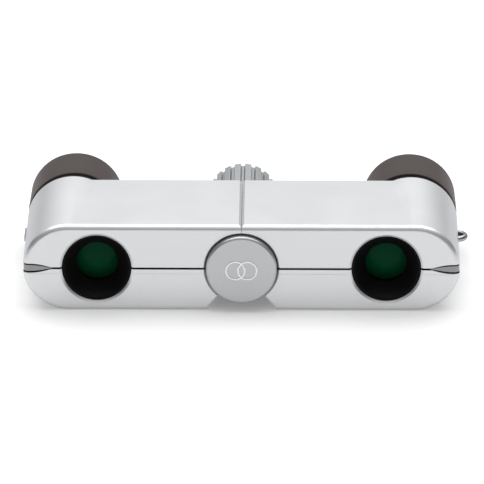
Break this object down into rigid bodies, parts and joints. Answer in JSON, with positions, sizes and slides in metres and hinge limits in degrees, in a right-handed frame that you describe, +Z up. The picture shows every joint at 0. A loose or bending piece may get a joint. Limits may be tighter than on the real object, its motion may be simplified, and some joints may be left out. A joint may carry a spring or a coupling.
{
  "type": "pocket binoculars",
  "caption": "Slim folding pocket binoculars: two flat silver halves on a centre hinge, with a ribbed focus wheel and rubber eyecups behind.",
  "frame": {"origin": "under the middle of the box, at the height of the flat underside", "axes": "+Z up from the flat underside, -Y out of the objectives, +Y out of the eyepieces, +X towards the right half's side in a view from the front"},
  "size_m": [0.0946, 0.044, 0.0202],
  "materials": {
    "silver_paint": "satin silver paint",
    "bright_metal": "polished",
    "black_metal": "matt black",
    "black_plastic": "matt black",
    "grey_trim": "satin",
    "eyecup_rubber": "smooth, slightly sheened",
    "wheel_metal": "satin",
    "brass": "turned",
    "steel": "turned",
    "coated_glass": "green coating",
    "prism_glass": "clear"
  },
  "bodies": {
    "spine": {"front_cap": "silver_paint", "hinge_tube": "steel", "front_washer": "brass", "rear_washer": "brass", "hinge_nut": "steel"},
    "focus_wheel": {"focus_wheel": "wheel_metal", "wheel_end_plate": "wheel_metal", "focus_screw": "brass"},
    "focus_slider": {"focus_slider": "steel"},
    "left_half": {"left_upper_shell": "silver_paint", "left_lower_shell": "silver_paint", "left_chassis": "black_plastic", "left_side_band": "grey_trim", "left_objective_hood": "black_metal", "left_front_prism": "prism_glass", "left_roof_prism": "prism_glass", "left_eyepiece_barrel": "black_metal", "left_shell_screw_front": "steel", "left_shell_screw_rear": "steel", "left_eyepiece_cell": "black_metal", "left_field_lens": "prism_glass", "left_eye_lens": "coated_glass", "left_eye_lens_ring": "black_metal", "left_base_ring": "black_metal", "left_blanking_plate": "bright_metal"},
    "right_half": {"right_upper_shell": "silver_paint", "right_lower_shell": "silver_paint", "right_chassis": "black_plastic", "right_side_band": "grey_trim", "right_objective_hood": "black_metal", "right_front_prism": "prism_glass", "right_roof_prism": "prism_glass", "right_eyepiece_barrel": "black_metal", "right_shell_screw_front": "steel", "right_shell_screw_rear": "steel", "right_strap_lug": "bright_metal"},
    "left_objective": {"left_focus_arm": "steel", "left_objective_cell": "black_metal", "left_objective_lens": "coated_glass"},
    "right_objective": {"right_focus_arm": "steel", "right_objective_cell": "black_metal", "right_objective_lens": "coated_glass"},
    "dioptre_ring": {"right_dioptre_ring": "black_metal"},
    "right_ocular": {"right_eyepiece_cell": "black_metal", "right_field_lens": "prism_glass", "right_eye_lens": "coated_glass", "right_eye_lens_ring": "black_metal"},
    "left_cam_sleeve": {"left_cam_sleeve": "black_plastic"},
    "right_cam_sleeve": {"right_cam_sleeve": "black_plastic"},
    "left_eyecup": {"left_eyecup": "eyecup_rubber"},
    "right_eyecup": {"right_eyecup": "eyecup_rubber"}
  },
  "joints": [
    {"name": "right_fold", "type": "hinge", "parent": "spine", "child": "right_half", "pos_m": [-0.00085, 0, 0.00955], "axis": [0, 1, 0], "range_deg": [0, 36]},
    {"name": "left_fold", "type": "hinge", "parent": "spine", "child": "left_half", "pos_m": [-0.00085, 0, 0.00955], "axis": [0, -1, 0], "range_deg": [0, 36]},
    {"name": "focus_turn", "type": "hinge", "parent": "spine", "child": "focus_wheel", "pos_m": [-0.00085, 0, 0.00955], "axis": [0, 1, 0], "range_deg": [-170, 170]},
    {"name": "focus_slide", "type": "slide", "parent": "spine", "child": "focus_slider", "axis": [0, 1, 0], "range_m": [-0.00105, 0.00105]},
    {"name": "right_objective_slide", "type": "slide", "parent": "right_half", "child": "right_objective", "axis": [0, 1, 0], "range_m": [-0.00105, 0.00105]},
    {"name": "left_objective_slide", "type": "slide", "parent": "left_half", "child": "left_objective", "axis": [0, 1, 0], "range_m": [-0.00105, 0.00105]},
    {"name": "dioptre_slide", "type": "slide", "parent": "right_half", "child": "right_ocular", "axis": [0, 1, 0], "range_m": [-0.000366, 0.000366]},
    {"name": "dioptre_turn", "type": "hinge", "parent": "right_half", "child": "dioptre_ring", "pos_m": [0.03515, 0, 0.0101], "axis": [0, 1, 0], "range_deg": [-30, 30]},
    {"name": "left_eyecup_turn", "type": "hinge", "parent": "left_half", "child": "left_cam_sleeve", "pos_m": [-0.03685, 0, 0.0101], "axis": [0, 1, 0], "range_deg": [0, 90]},
    {"name": "left_eyecup_slide", "type": "slide", "parent": "left_cam_sleeve", "child": "left_eyecup", "axis": [0, 1, 0], "range_m": [0, 0.006]},
    {"name": "right_eyecup_turn", "type": "hinge", "parent": "right_half", "child": "right_cam_sleeve", "pos_m": [0.03515, 0, 0.0101], "axis": [0, 1, 0], "range_deg": [0, 90]},
    {"name": "right_eyecup_slide", "type": "slide", "parent": "right_cam_sleeve", "child": "right_eyecup", "axis": [0, 1, 0], "range_m": [0, 0.006]}
  ],
  "couplings": [
    {"joint": "left_fold", "follows": "right_fold", "ratio": 1},
    {"joint": "focus_slide", "follows": "focus_turn", "m_per_rad": 0.00035},
    {"joint": "right_objective_slide", "follows": "focus_turn", "m_per_rad": 0.00035},
    {"joint": "left_objective_slide", "follows": "focus_turn", "m_per_rad": 0.00035},
    {"joint": "dioptre_turn", "follows": "dioptre_slide", "rad_per_m": 1428.6},
    {"joint": "left_eyecup_slide", "follows": "left_eyecup_turn", "m_per_rad": 0.0038},
    {"joint": "right_eyecup_slide", "follows": "right_eyecup_turn", "m_per_rad": 0.0038}
  ]
}
